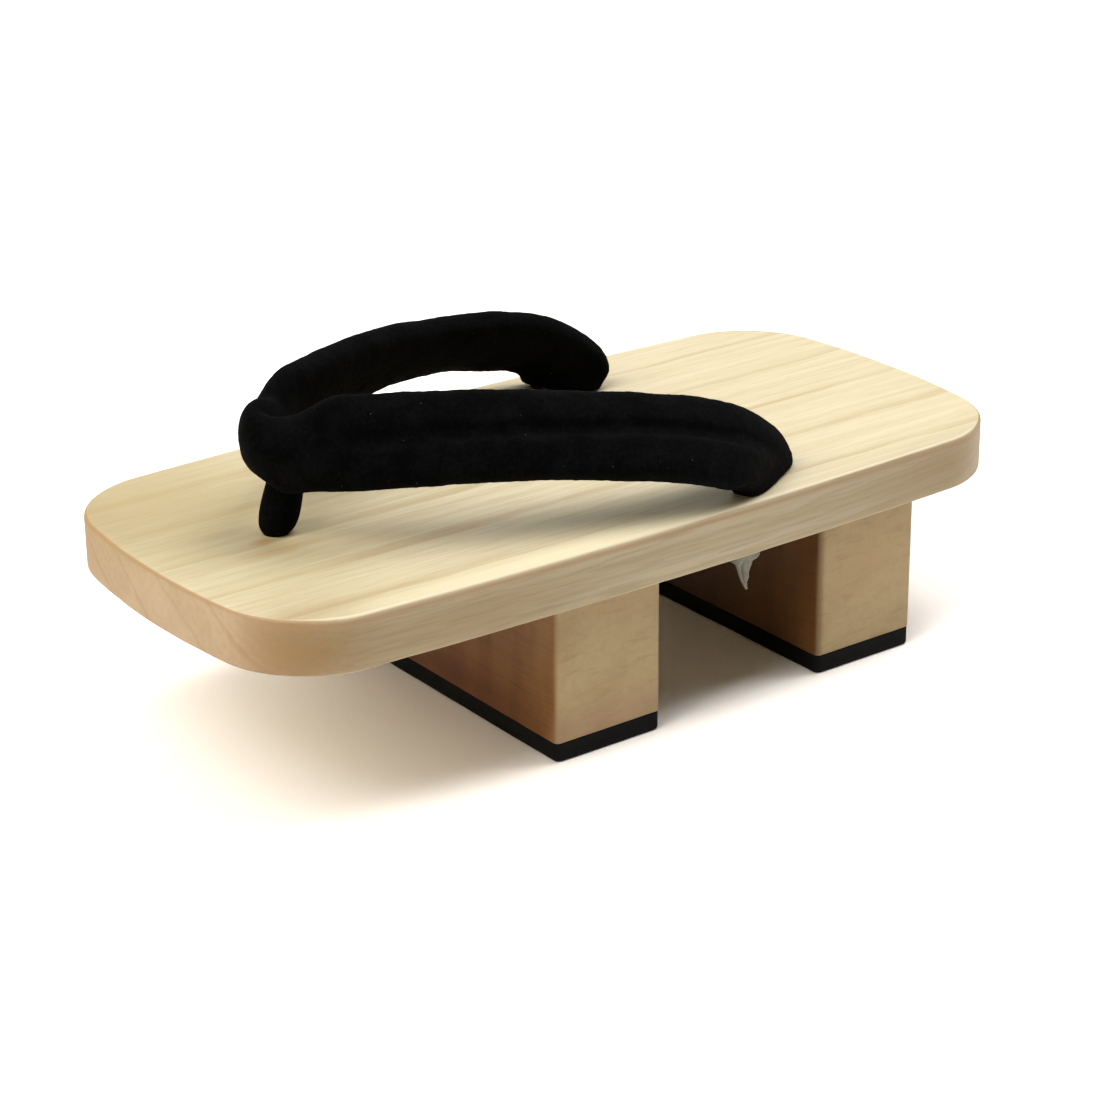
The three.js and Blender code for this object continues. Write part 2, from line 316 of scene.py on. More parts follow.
# Materials
class Shader:
    """One material and short ways of adding nodes to it."""

    def __init__(self, name):
        self.material = bpy.data.materials.new(name)
        self.material.use_nodes = True
        self.tree = self.material.node_tree
        self.surface = self.tree.nodes["Principled BSDF"]

    def add(self, kind, inputs, **settings):
        made = self.tree.nodes.new("ShaderNode" + kind)
        for key, value in settings.items():
            setattr(made, key, value)
        for key, value in inputs.items():
            self.put(made.inputs[key], value)
        return made

    def put(self, socket, value):
        if isinstance(value, bpy.types.NodeSocket):
            self.tree.links.new(value, socket)
        else:
            socket.default_value = value

    def set(self, **inputs):
        """Sets inputs of the surface, with underscores for the spaces in their names."""
        for key, value in inputs.items():
            self.put(self.surface.inputs[key.replace("_", " ")], value)

    def calc(self, operation, *values):
        made = self.add("Math", dict(enumerate(values)), operation=operation)
        return made.outputs[0]

    def total(self, *values):
        result = values[0]
        for value in values[1:]:
            result = self.calc("ADD", result, value)
        return result

    def times(self, *values):
        result = values[0]
        for value in values[1:]:
            result = self.calc("MULTIPLY", result, value)
        return result

    def rest(self, share):
        """What a share leaves of 1."""
        return self.calc("SUBTRACT", 1.0, share)

    def span(self, share, low, high):
        """A share from 0 to 1, spread from low to high."""
        return self.total(low, self.times(share, high - low))

    def between(self, value, low, high):
        """0 below low and 1 above high, with a smooth rise between."""
        inputs = {"Value": value, "From Min": low, "From Max": high}
        return self.add("MapRange", inputs, interpolation_type="SMOOTHSTEP").outputs["Result"]

    def hill(self, value, middle, width):
        """1 where the value is at the middle, falling off softly over the width."""
        away = self.calc("DIVIDE", self.calc("SUBTRACT", value, middle), width)
        return self.calc("EXPONENT", self.times(away, away, -1.0))

    def place(self):
        """Position in the sandal's own frame, in millimetres."""
        spot = self.add("TexCoord", {}).outputs["Object"]
        return self.stretched(spot, (1 / MM,) * 3)

    def facing(self):
        return self.add("TexCoord", {}).outputs["Normal"]

    def split(self, vector):
        return self.add("SeparateXYZ", {0: vector}).outputs

    def stretched(self, vector, scales):
        return self.add("VectorMath", {0: vector, 1: scales}, operation="MULTIPLY").outputs[0]

    def pattern(self, vector, scales, limits=None, detail=2.0, roughness=0.5):
        """Noise with a scale along each axis, which may be made to rise from 0 to 1 between two limits."""
        inputs = {"Vector": self.stretched(vector, scales), "Scale": 1.0, "Detail": detail,
                  "Roughness": roughness}
        value = self.add("TexNoise", inputs).outputs["Fac"]
        return self.between(value, *limits) if limits else value

    def cells(self, vector, scales):
        inputs = {"Vector": self.stretched(vector, scales), "Scale": 1.0}
        return self.add("TexVoronoi", inputs).outputs

    def mix(self, share, first, second):
        made = self.add("Mix", {0: share, 6: first, 7: second}, data_type="RGBA")
        return made.outputs[2]

    def tinted(self, colour, tint, *shares, strength):
        """A colour with a tint mixed into it by the product of some shares and a strength."""
        return self.mix(self.times(*shares, strength), colour, tint)

    def bump(self, height, distance, strength=1.0):
        inputs = {"Height": height, "Distance": distance * MM, "Strength": strength}
        return self.add("Bump", inputs).outputs[0]


def tone(red, green, blue):
    """A linear colour."""
    return (red, green, blue, 1.0)


# Tones of the wood: pale and late wood, painted shade that darkens its upright faces, the end grain and its
# dark marks, the arris, painted pale along the sides as a highlight over light wear and dark at the ends,
# and the rim under it, which the figure shares
BOARD_TONES = SimpleNamespace(
    pale=tone(0.467, 0.413, 0.284),
    late=tone(0.31, 0.231, 0.115),
    upright_shade=tone(0.208, 0.166, 0.097),
    end=tone(0.33, 0.246, 0.158),
    end_late=tone(0.215, 0.133, 0.07),
    edge=tone(0.53, 0.47, 0.34),
    end_edge=tone(0.29, 0.178, 0.088),
    rim=tone(0.27, 0.155, 0.075),
)
# The teeth's long-grain faces are dark: the wood's own browner tone, deepened as painted shade under the
# board's overhang
TOOTH_TONES = SimpleNamespace(
    pale=tone(0.16, 0.067, 0.013),
    late=tone(0.095, 0.034, 0.006),
    upright_shade=tone(0.10, 0.036, 0.006),
    end=tone(0.345, 0.264, 0.143),
    end_late=tone(0.22, 0.148, 0.071),
    edge=tone(0.33, 0.24, 0.125),
    end_edge=tone(0.33, 0.24, 0.125),
    rim=tone(0.22, 0.10, 0.026),
)

# Growth rings: their tilt in degrees, their spacing, a place across that a ring passes at the board's top,
# how strongly they mark the end grain, and how strongly figure marks the sides and flecks the end grain
BOARD_RINGS = SimpleNamespace(tilt=35.0, spacing=12.6, passes=5.0, end_mark=0.5, figure_mark=0.0)
TOOTH_RINGS = SimpleNamespace(tilt=8.0, spacing=7.0, passes=12.0, end_mark=0.14, figure_mark=0.32)

# Rings of both woods: how far they wander, where in a ring its dark line peaks and starts, and the start,
# the spacing and the strength of the minor lines between
SLOW_WANDER = 5.0
QUICK_WANDER = 1.8
MEAN_WANDER = (SLOW_WANDER + QUICK_WANDER) / 2
RING_PEAK = 0.965
MAJOR_START = 0.80
MINOR_START = 0.45
MINOR_SPACING = 0.23
MINOR_MARK = 0.3
MINOR_SIDE_MARK = 0.45

# Surface of both woods: roughness, and the relief of its fibres, lines and pores
WOOD_ROUGHNESS = 0.42
FIBRE_ROUGHNESS = 0.14
END_ROUGHNESS = 0.2
FIBRE_RELIEF = 0.5
LINE_RELIEF = 0.4
PORE_RELIEF = -0.7

# Edge of the board: how far under its top the pale arris, a painted highlight over light wear, begins and
# is whole, and its dark line lies
ARRIS_LOW = 3.0
ARRIS_HIGH = 1.5
EDGE_LINE_DEPTH = 1.7
EDGE_LINE_WIDTH = 0.8

# Stains and painted light: soft patches, each with its middle, its reach along the axes, its strength and
# its tone; some are the wood's own marks, others painted shade and a painted highlight
FRONT_SHADE = tone(0.26, 0.195, 0.078)
BROWN = tone(0.30, 0.17, 0.06)
GREY_BROWN = tone(0.25, 0.18, 0.10)
SIDE_SHADE_BROWN = tone(0.21, 0.13, 0.052)
HIGHLIGHT_CREAM = tone(0.58, 0.52, 0.36)
SHADE = tone(0.05, 0.02, 0.007)
AMBER = tone(0.25, 0.135, 0.045)
RED_SHADE = tone(0.07, 0.012, 0.006)
ROSE = tone(0.33, 0.20, 0.12)
PALE_ROSE = tone(0.33, 0.215, 0.12)
MID_SIDE = BOARD_TOP - 8
LOW_SIDE = BOARD_TOP - 9
BOARD_STAINS_AND_PAINTED_LIGHT = (
    # Painted shade over the front of the top, where the strap's shadow and the fall of light darken it,
    # with the wood's own yellower tone
    ((98.0, -30.0, BOARD_TOP), (40.0, 46.0, 3.0), 0.68, FRONT_SHADE),
    # Painted highlight: a pale band along the near top edge, where the light catches it
    ((45.0, 54.5, BOARD_TOP), (60.0, 4.5, 1.5), 0.7, HIGHLIGHT_CREAM),
    ((57.0, 25.2, BOARD_TOP), (24.0, 2.4, 3.0), 0.38, BROWN),
    ((88.0, 9.8, BOARD_TOP), (11.0, 2.2, 3.0), 0.40, BROWN),
    ((66.0, 17.5, BOARD_TOP), (11.0, 2.2, 3.0), 0.15, BROWN),
    ((89.8, 3.4, BOARD_TOP), (2.6, 1.9, 3.0), 0.75, BROWN),
    ((96.0, -6.6, BOARD_TOP), (9.0, 2.4, 3.0), 0.40, GREY_BROWN),
    # Painted shade on the sides and the front end where less light falls, over darker wood at the near
    # front corner
    ((106.0, 50.0, MID_SIDE), (16.0, 14.0, 8.0), 0.95, SIDE_SHADE_BROWN),
    ((72.0, 57.0, LOW_SIDE), (38.0, 3.0, 8.0), 0.55, SIDE_SHADE_BROWN),
    ((-92.0, 55.0, MID_SIDE), (34.0, 5.0, 8.0), 0.6, SIDE_SHADE_BROWN),
    ((116.0, -40.0, MID_SIDE), (8.0, 24.0, 9.0), 0.5, SIDE_SHADE_BROWN),
)
TOOTH_STAINS_AND_PAINTED_SHADE = (
    ((-47.6, 0.0, 24.0), (1.3, 90.0, 60.0), 0.75, SHADE),
    ((37.8, 49.0, 34.0), (3.0, 6.0, 14.0), 0.3, AMBER),
    ((37.8, 10.0, 9.0), (3.0, 40.0, 6.0), 0.6, RED_SHADE),
    ((23.0, 54.0, 6.0), (18.0, 3.0, 7.0), 0.55, ROSE),
    ((12.0, 54.0, 40.0), (16.0, 3.0, 6.0), 0.2, ROSE),
    ((-66.0, 54.0, 30.0), (14.0, 3.0, 10.0), 0.3, PALE_ROSE),
)


def ring_lines(shader, depth, spacing, start):
    """0 in the pale wood, rising from a start to 1 at the end of each ring and dropping sharply there."""
    share = shader.calc("FRACT", shader.calc("DIVIDE", depth, spacing))
    drop = shader.rest(shader.between(share, RING_PEAK, 1.0))
    return shader.times(shader.between(share, start, RING_PEAK), drop)


def growth_lines(shader, grain, rings, across, height, across_share):
    """Dark lines at the ends of growth rings, which are tilted sheets that wander along the fibres."""
    slow_wander = shader.times(shader.pattern(grain, scales=(0.006, 0.03, 0.03)), SLOW_WANDER)
    quick_wander = shader.times(shader.pattern(grain, scales=(0.05, 0.2, 0.2)), QUICK_WANDER)
    lean = math.radians(rings.tilt)
    depth = shader.total(
        shader.times(shader.calc("SUBTRACT", across, rings.passes), math.sin(lean)),
        shader.times(shader.calc("SUBTRACT", height, BOARD_TOP), math.cos(lean)),
        slow_wander, quick_wander, -MEAN_WANDER)
    major = ring_lines(shader, depth, rings.spacing, MAJOR_START)
    minor = ring_lines(shader, depth, rings.spacing * MINOR_SPACING, MINOR_START)
    strength = shader.pattern(grain, scales=(0.014, 0.06, 0.06), limits=(0.3, 0.7))
    side_mark = shader.times(across_share, MINOR_SIDE_MARK)
    minor_mark = shader.total(shader.times(strength, MINOR_MARK), side_mark)
    return shader.total(shader.times(major, shader.span(strength, low=0.4, high=1.0)),
                        shader.times(minor, minor_mark))


def long_grain(shader, grain, tones, figure_mark, lines, pores, forward, across_share):
    """Wood along its fibres: bands, streaks that fade to the heel, ring lines, pores and upright figure."""
    bands = shader.pattern(grain, scales=(0.010, 0.32, 0.32), limits=(0.32, 0.68), detail=3.0)
    streaks = shader.pattern(grain, scales=(0.055, 1.1, 1.1), limits=(0.42, 0.74), detail=3.0)
    figure = shader.pattern(grain, scales=(0.13, 0.13, 0.035), limits=(0.36, 0.62), detail=3.0)
    fading = shader.between(forward, low=-110.0, high=20.0)
    streaks = shader.times(streaks, shader.span(fading, low=0.45, high=1.0))
    colour = shader.tinted(tones.pale, tones.late, bands, strength=0.24)
    colour = shader.tinted(colour, tones.late, streaks, strength=0.36)
    colour = shader.tinted(colour, tones.late, lines, strength=0.62)
    colour = shader.tinted(colour, tones.late, pores, strength=0.25)
    # Painted shade: upright faces darkened where less light falls on them, with their streaks deeper still
    colour = shader.tinted(colour, tones.upright_shade, across_share, strength=0.42)
    colour = shader.tinted(colour, tones.upright_shade, streaks, across_share, strength=0.3)
    return shader.tinted(colour, tones.rim, figure, across_share, strength=figure_mark)


def end_grain(shader, grain, tones, rings, lines, place):
    """Wood across its fibres: speckle, clouds, ring lines and short flecks."""
    even_fine = (0.55, 0.55, 0.55)
    even_broad = (0.05, 0.05, 0.05)
    speckle = shader.pattern(place, even_fine, limits=(0.38, 0.68), detail=4.0, roughness=0.65)
    clouds = shader.pattern(place, even_broad, limits=(0.4, 0.7), detail=3.0)
    flecks = shader.pattern(grain, scales=(0.1, 0.1, 0.5), limits=(0.54, 0.68), detail=3.0)
    colour = shader.tinted(tones.end, tones.end_late, speckle, strength=0.22)
    colour = shader.tinted(colour, tones.end_late, clouds, strength=0.35)
    colour = shader.tinted(colour, tones.end_late, lines, strength=rings.end_mark)
    return shader.tinted(colour, tones.end_late, flecks, strength=rings.figure_mark)


def with_stains_and_painted_light(shader, colour, place, stains_and_painted_light):
    """A colour with soft patches, some the wood's own marks, others painted shade and a painted highlight.
    """
    for middle, reach, strength, patch_tone in stains_and_painted_light:
        away = shader.add("VectorMath", {0: place, 1: middle}, operation="SUBTRACT").outputs[0]
        away = shader.add("VectorMath", {0: away, 1: reach}, operation="DIVIDE").outputs[0]
        away = shader.add("VectorMath", {0: away}, operation="LENGTH").outputs["Value"]
        patch = shader.hill(away, middle=0.0, width=1.0)
        colour = shader.tinted(colour, patch_tone, patch, strength=strength)
    return colour


def worn_and_highlit_edges(shader, colour, tones, height, upward, along_share, across_share):
    """A colour with the upper arris painted pale along the sides, as a highlight over light wear, and dark
    at the ends, over a thin line.
    """
    turned_up = shader.between(upward, low=0.45, high=0.7)
    not_flat = shader.rest(shader.between(upward, low=0.9, high=0.985))
    near_top = shader.between(height, BOARD_TOP - ARRIS_LOW, BOARD_TOP - ARRIS_HIGH)
    arris_highlight_and_wear = shader.mix(shader.between(along_share, low=0.15, high=0.4), tones.edge, tones.end_edge)
    colour = shader.tinted(colour, arris_highlight_and_wear, turned_up, not_flat, near_top, strength=0.8)
    line = shader.hill(height, BOARD_TOP - EDGE_LINE_DEPTH, EDGE_LINE_WIDTH)
    return shader.tinted(colour, tones.rim, line, across_share, strength=0.55)


def wood(name, along, across, tones, rings, stains_and_painted_light):
    """Solid wood whose fibres run along one axis, with end grain where they are cut."""
    shader = Shader(name)
    place = shader.place()
    spot = shader.split(place)
    grain = shader.add("CombineXYZ", {0: spot[along], 1: spot[across], 2: spot[2]}).outputs[0]
    facing = shader.split(shader.facing())
    along_share = shader.calc("ABSOLUTE", facing[along])
    across_share = shader.between(shader.calc("ABSOLUTE", facing[across]), low=0.4, high=0.9)
    end_share = shader.between(along_share, low=0.5, high=0.85)
    lines = growth_lines(shader, grain, rings, spot[across], spot[2], across_share)
    fibres = shader.pattern(grain, scales=(0.14, 2.2, 2.2), roughness=0.6)
    pores = shader.between(fibres, low=0.58, high=0.72)

    sides = long_grain(shader, grain, tones, rings.figure_mark, lines, pores, spot[0], across_share)
    ends = end_grain(shader, grain, tones, rings, lines, place)
    colour = shader.mix(end_share, sides, ends)
    aslant = shader.hill(along_share, middle=0.66, width=0.22)
    colour = shader.tinted(colour, tones.end_late, aslant, strength=0.75)
    colour = with_stains_and_painted_light(shader, colour, place, stains_and_painted_light)
    colour = worn_and_highlit_edges(shader, colour, tones, spot[2], facing[2], along_share, across_share)

    roughness = shader.total(WOOD_ROUGHNESS, shader.times(fibres, FIBRE_ROUGHNESS),
                             shader.times(end_share, END_ROUGHNESS))
    relief = shader.total(shader.times(fibres, FIBRE_RELIEF), shader.times(lines, LINE_RELIEF),
                          shader.times(pores, PORE_RELIEF))
    shader.set(Base_Color=colour, Roughness=roughness, Specular_IOR_Level=0.25,
               Normal=shader.bump(relief, distance=0.05))
    return shader.material


RUBBER_BLACK = tone(0.003, 0.003, 0.0033)
RUBBER_DUST = tone(0.012, 0.0115, 0.0105)


def rubber():
    """Matt black rubber, with some dust low down."""
    shader = Shader("tread_rubber")
    place = shader.place()
    pebble = shader.pattern(place, scales=(3.0, 3.0, 3.0))
    cloud = shader.pattern(place, scales=(0.12, 0.12, 0.12), detail=4.0)
    dusty = shader.between(cloud, low=0.5, high=0.75)
    low_down = shader.rest(shader.between(shader.split(place)[2], low=0.2, high=2.4))
    colour = shader.tinted(RUBBER_BLACK, RUBBER_DUST, dusty, low_down, strength=0.5)
    shader.set(Base_Color=colour, Roughness=shader.span(cloud, low=0.5, high=0.75),
               Specular_IOR_Level=0.07, Normal=shader.bump(pebble, distance=0.04))
    return shader.material


VELVET_BLACK = tone(0.0003, 0.0004, 0.0005)
VELVET_WORN = tone(0.0018, 0.0019, 0.0022)
LINT = tone(0.05, 0.05, 0.05)
LINT_CHOICE = 0.8
LINT_RADIUS = 0.055


def velvet():
    """Black velvet with a short nap, brushed patches and specks of lint."""
    shader = Shader("strap_velvet")
    place = shader.place()
    nap = shader.pattern(place, scales=(2.6, 2.6, 2.6), detail=3.0, roughness=0.7)
    brushed = shader.pattern(place, scales=(0.16, 0.16, 0.16), detail=3.0)
    tufts = shader.pattern(place, scales=(0.9, 0.9, 0.9), detail=3.0, roughness=0.7)
    worn = shader.between(shader.times(shader.total(brushed, tufts), 0.5), low=0.38, high=0.66)
    lint = shader.cells(place, scales=(0.34, 0.34, 0.34))
    chosen = shader.calc("GREATER_THAN", shader.split(lint["Color"])[0], LINT_CHOICE)
    close = shader.calc("LESS_THAN", lint["Distance"], LINT_RADIUS)
    colour = shader.mix(worn, VELVET_BLACK, VELVET_WORN)
    colour = shader.tinted(colour, LINT, chosen, close, strength=0.6)
    shader.set(Base_Color=colour, Roughness=0.95, Specular_IOR_Level=0.03, Sheen_Weight=0.005,
               Sheen_Roughness=0.5, Normal=shader.bump(nap, distance=0.2, strength=0.8))
    return shader.material


COTTON_DULL = tone(0.15, 0.145, 0.12)
COTTON_PALE = tone(0.23, 0.22, 0.18)


def cotton():
    """Undyed cotton cord with a little fuzz."""
    shader = Shader("knot_cord")
    place = shader.place()
    fuzz = shader.pattern(place, scales=(4.0, 4.0, 4.0), detail=3.0)
    cloud = shader.pattern(place, scales=(0.3, 0.3, 0.3), limits=(0.3, 0.7))
    colour = shader.mix(cloud, COTTON_DULL, COTTON_PALE)
    shader.set(Base_Color=colour, Roughness=0.9, Specular_IOR_Level=0.2,
               Normal=shader.bump(fuzz, distance=0.15))
    return shader.material


board_wood = wood("board_wood", X_AXIS, Y_AXIS, BOARD_TONES, BOARD_RINGS, BOARD_STAINS_AND_PAINTED_LIGHT)
tooth_wood = wood("tooth_wood", Y_AXIS, X_AXIS, TOOTH_TONES, TOOTH_RINGS, TOOTH_STAINS_AND_PAINTED_SHADE)
tread_rubber = rubber()
strap_velvet = velvet()
knot_cord = cotton()


# Board, teeth and treads: upright slabs with softly uneven rounded edges
def bowed_outline(inset):
    """Outline of the board, drawn in by an inset."""
    end_middle = np.array([BOARD_HALF_LENGTH - BOARD_END_RADIUS, 0.0])
    side_middle = np.array([0.0, BOARD_HALF_WIDTH - BOARD_SIDE_RADIUS])
    to_end = BOARD_END_RADIUS - BOARD_CORNER_RADIUS
    to_side = BOARD_SIDE_RADIUS - BOARD_CORNER_RADIUS
    between = end_middle - side_middle
    apart = np.linalg.norm(between)
    reach = (to_side ** 2 - to_end ** 2 + apart ** 2) / (2 * apart)
    aside = math.sqrt(to_side ** 2 - reach ** 2)
    way = between / apart
    corner = side_middle + way * reach + np.array([way[1], -way[0]]) * aside
    end_turn = math.atan2(*(corner - end_middle)[::-1])
    side_turn = math.atan2(*(corner - side_middle)[::-1])
    arcs = ((end_middle, BOARD_END_RADIUS, 0.0, end_turn, END_STEPS),
            (corner, BOARD_CORNER_RADIUS, end_turn, side_turn, CORNER_STEPS),
            (side_middle, BOARD_SIDE_RADIUS, side_turn, math.pi / 2, SIDE_STEPS))
    quarter = []
    for middle, radius, start, stop, steps in arcs:
        turns = np.linspace(start, stop, steps, endpoint=False)
        quarter.append(middle + (radius - inset) * np.stack([np.cos(turns), np.sin(turns)], 1))
    quarter.append([[0.0, BOARD_HALF_WIDTH - inset]])
    quarter = np.vstack(quarter)
    half = np.vstack([quarter, quarter[-2::-1] * (-1, 1)])
    return np.vstack([half, half[1:-1] * (-1, -1)])


def block_outline(low, high, corner_radius):
    """Function that gives a rectangle with round corners, drawn in by an inset."""
    middle = (low[:2] + high[:2]) / 2
    half = (high[:2] - low[:2]) / 2
    side_steps = max(1, int(np.linalg.norm(half) / BLOCK_SIDE_STEP))

    def outline(inset):
        radius = max(corner_radius - inset, LEAST_RADIUS)
        points = []
        for quarter, (side_x, side_y) in enumerate(((1, 1), (-1, 1), (-1, -1), (1, -1))):
            centre = middle + (half - inset - radius) * (side_x, side_y)
            turns = np.radians(np.linspace(0, 90, BLOCK_CORNER_POINTS) + 90 * quarter)
            points.append(centre + radius * np.stack([np.cos(turns), np.sin(turns)], 1))
        corners = np.vstack(points)
        dense = []
        for start, stop in zip(corners, np.roll(corners, -1, 0)):
            steps = side_steps if np.linalg.norm(stop - start) > BLOCK_SHORT_SIDE else 1
            dense.append(start + (stop - start) * np.linspace(0, 1, steps, endpoint=False)[:, None])
        return np.vstack(dense)
    return outline


def edge_rows(outline, edge, edge_z, sign, steps):
    """Rings that round an upright wall into an end face, with an edge that varies softly along it."""
    base = outline(0.0)
    flat = np.column_stack([base, np.full(len(base), edge_z)])
    waves = lumps(flat, LONG_WAVE, SEED) + SHORT_WAVE_SHARE * lumps(flat, SHORT_WAVE, SEED + 1)
    local = edge * (1 + EDGE_UNEVEN * waves)
    inward = (outline(edge) - base) / edge
    rings = []
    for turn in np.radians(np.linspace(0, 90, steps + 1)):
        places = base + inward * (local * (1 - math.cos(turn)))[:, None]
        heights = edge_z - sign * local * (1 - math.sin(turn))
        rings.append(np.column_stack([places, heights]))
    return rings


def slab(outline, low_z, high_z, low_edge, high_edge):
    """An upright block with rounded lower and upper edges."""
    lower = edge_rows(outline, low_edge, low_z, -1, UNDER_EDGE_STEPS)[::-1]
    upper = edge_rows(outline, high_edge, high_z, 1, TOP_EDGE_STEPS)
    under = np.column_stack([outline(low_edge * FACE_INSET), np.full(len(lower[0]), low_z)])
    over = np.column_stack([outline(high_edge * FACE_INSET), np.full(len(lower[0]), high_z)])
    return skin(np.array([under, *lower, *upper, over]))


def turned(rows, middle, sides=64):
    """A turned skin about an upright axis, from rows of radius and height."""
    turns = np.linspace(0, 2 * math.pi, sides, endpoint=False)
    circle = np.stack([np.cos(turns), np.sin(turns), np.zeros(sides)], 1)
    centre = np.array([middle[0], middle[1], 0.0])
    return skin(np.array([centre + circle * radius + (0, 0, height) for radius, height in rows]))


def cut_holes(piece, holes):
    """Cuts upright holes, each with its place and radius, through a piece."""
    ends = (BOARD_BOTTOM - HOLE_MARGIN, BOARD_TOP + HOLE_MARGIN)
    cutters = [turned([(radius, end) for end in ends], place) for place, radius in holes]
    cutter = make_object("hole_cutter", joined(cutters))
    cut = piece.modifiers.new("holes", "BOOLEAN")
    cut.operation = "DIFFERENCE"
    cut.solver = "EXACT"
    cut.object = cutter
    keep_modified(piece)
    bpy.data.objects.remove(cutter)


board_part = slab(bowed_outline, BOARD_BOTTOM, BOARD_TOP, BOARD_UNDER_EDGE, BOARD_TOP_EDGE)
board = make_piece("board_slab", board_part, board_wood, "board_wood", "board")
cut_holes(board, [(FRONT_HOLE, FRONT_HOLE_RADIUS), *((hole, REAR_HOLE_RADIUS) for hole in REAR_HOLES)])
board.data.set_sharp_from_angle(angle=SHARP_ANGLE)

for place in ("front", "rear"):
    low, high = node_box("tooth_" + place)
    outline = block_outline(low, high, TOOTH_CORNER_RADIUS)
    part = slab(outline, low[2], high[2], TOOTH_UNDER_EDGE, TOOTH_TOP_EDGE)
    tooth = make_piece("tooth_" + place + "_block", part, tooth_wood, "tooth_wood", "tooth_" + place)
    tooth.data.set_sharp_from_angle(angle=SHARP_ANGLE)
    low, high = node_box("tread_" + place)
    outline = block_outline(low, high, TOOTH_CORNER_RADIUS)
    part = slab(outline, low[2], high[2], TREAD_UNDER_EDGE, TREAD_TOP_EDGE)
    tread = make_piece("tread_" + place + "_sheet", part, tread_rubber, "tread_rubber", "tread_" + place)
    tread.data.set_sharp_from_angle(angle=SHARP_ANGLE)


# Strap: one padded band, folded at the toe over its post, with a groove along each half
def folded(rows, flip):
    """Rows along the left half of the strap, begun a little beyond the fold, mirrored there."""
    rows = np.array(rows, float)
    curve = catmull(rows, STRAP_STEPS, lead=rows[1] * flip)
    return np.vstack([curve[STRAP_OVERLAP:0:-1] * flip, curve])


def band():
    """Skin of the left half of the strap."""
    lower = folded([section[0] for section in STRAP_SECTIONS], MIRROR)
    upper = folded([section[1] for section in STRAP_SECTIONS], MIRROR)
    form = folded([section[2:] for section in STRAP_SECTIONS], (1, 1, 1, 1))
    along = np.gradient(lower, axis=0) + np.gradient(upper, axis=0)
    middle = (lower + upper) / 2
    across = upper - lower
    width = np.linalg.norm(across, axis=1)
    across /= width[:, None]
    outward = -np.cross(across, along)
    outward /= np.linalg.norm(outward, axis=1)[:, None]
    turns = 2 * math.pi * (np.arange(STRAP_SIDES) + 0.5) / STRAP_SIDES
    rings = []
    for station in range(len(middle)):
        half, square, groove, groove_place = form[station]
        reach = np.sign(np.cos(turns)) * np.abs(np.cos(turns)) ** (2 / square)
        lift = np.sign(np.sin(turns)) * np.abs(np.sin(turns)) ** (2 / square) * half
        dip = np.where(np.sin(turns) > 0, groove * swell(reach, groove_place, GROOVE_SHARE), 0.0)
        spread = reach * (width[station] / 2 + half)
        rings.append(middle[station] + np.outer(spread, across[station])
                     + np.outer(lift - dip, outward[station]))
    return skin(np.array(rings))


def settled(part):
    """The strap as it lies, a little lopsided."""
    points, faces = part
    x, y, z = points.T
    height = z - BOARD_TOP
    right = y < 0
    rise = swell(x, *RISE_ALONG) * swell(y, *RISE_ACROSS) * ramp(height, *RISE_HEIGHT)
    dip = ramp(x, *DIP_FORWARD) * swell(y, *DIP_ACROSS)
    sag = swell(x, *SAG_ALONG) * ramp(-y, *SAG_ASIDE) * ramp(height, *SAG_HEIGHT)
    hang = swell(x, *HANG_ALONG) * right * (1 - ramp(height, *HANG_HEIGHT))
    end = ramp(-x, *END_BACK) * right
    lift = end * ramp(height, *END_HEIGHT)
    arch = swell(x, *ARCH_ALONG) * (1 - ramp(height, *ARCH_HEIGHT)) * right
    over_foot = np.where(x > RIGHT_END_MIDDLE, ramp(height, *TAPER_FRONT_HEIGHT),
                         ramp(height, *TAPER_REAR_HEIGHT))
    taper = RIGHT_END_TAPER * ramp(-x, *TAPER_BACK) * right * (1 - over_foot)
    forward = RIGHT_END_SHIFT[0] * end + taper * (RIGHT_END_MIDDLE - x)
    inward = RIGHT_END_SHIFT[1] * end
    upward = (FOLD_RISE * rise - FOLD_DIP * dip + RIGHT_END_LIFT * lift + RIGHT_END_ARCH * arch
              - FOLD_SAG * sag - RIGHT_HANG * hang)
    return points + np.stack([forward, inward, upward], 1), faces


def fused(piece, grid, passes):
    """Makes one closed skin of a piece whose parts run into each other, and smooths it."""
    remesh = piece.modifiers.new("fuse", "REMESH")
    remesh.mode = "VOXEL"
    remesh.voxel_size = grid * MM
    remesh.use_smooth_shade = True
    smooth = piece.modifiers.new("smooth", "SMOOTH")
    smooth.iterations = passes
    keep_modified(piece)


def roughened(piece, sizes, floor):
    """Moves the points of a piece along their normals by noise of several sizes, and keeps them over a
    floor."""
    count = len(piece.data.vertices)
    points = np.empty(3 * count)
    normals = np.empty(3 * count)
    piece.data.vertices.foreach_get("co", points)
    piece.data.vertices.foreach_get("normal", normals)
    points = points.reshape(-1, 3) / MM
    moved = sum(depth * lumps(points, size, SEED + turn) for turn, (size, depth) in enumerate(sizes))
    points = points + normals.reshape(-1, 3) * moved[:, None]
    points[:, 2] = np.maximum(points[:, 2], floor)
    piece.data.vertices.foreach_set("co", (points * MM).ravel())
    piece.data.update()


strap_floor = BOARD_TOP + STRAP_CLEARANCE
left_band = band()
left_band[0][:, 2] = soft_floor(left_band[0][:, 2], 0.0, STRAP_FOOT_SOFTNESS) + strap_floor
both_bands = settled(joined([left_band, mirrored(left_band)]))
strap = make_piece("strap_bands", both_bands, strap_velvet, "strap_velvet", "strap")
fused(strap, STRAP_GRID, STRAP_SMOOTHING)
roughened(strap, STRAP_LUMPS, strap_floor)


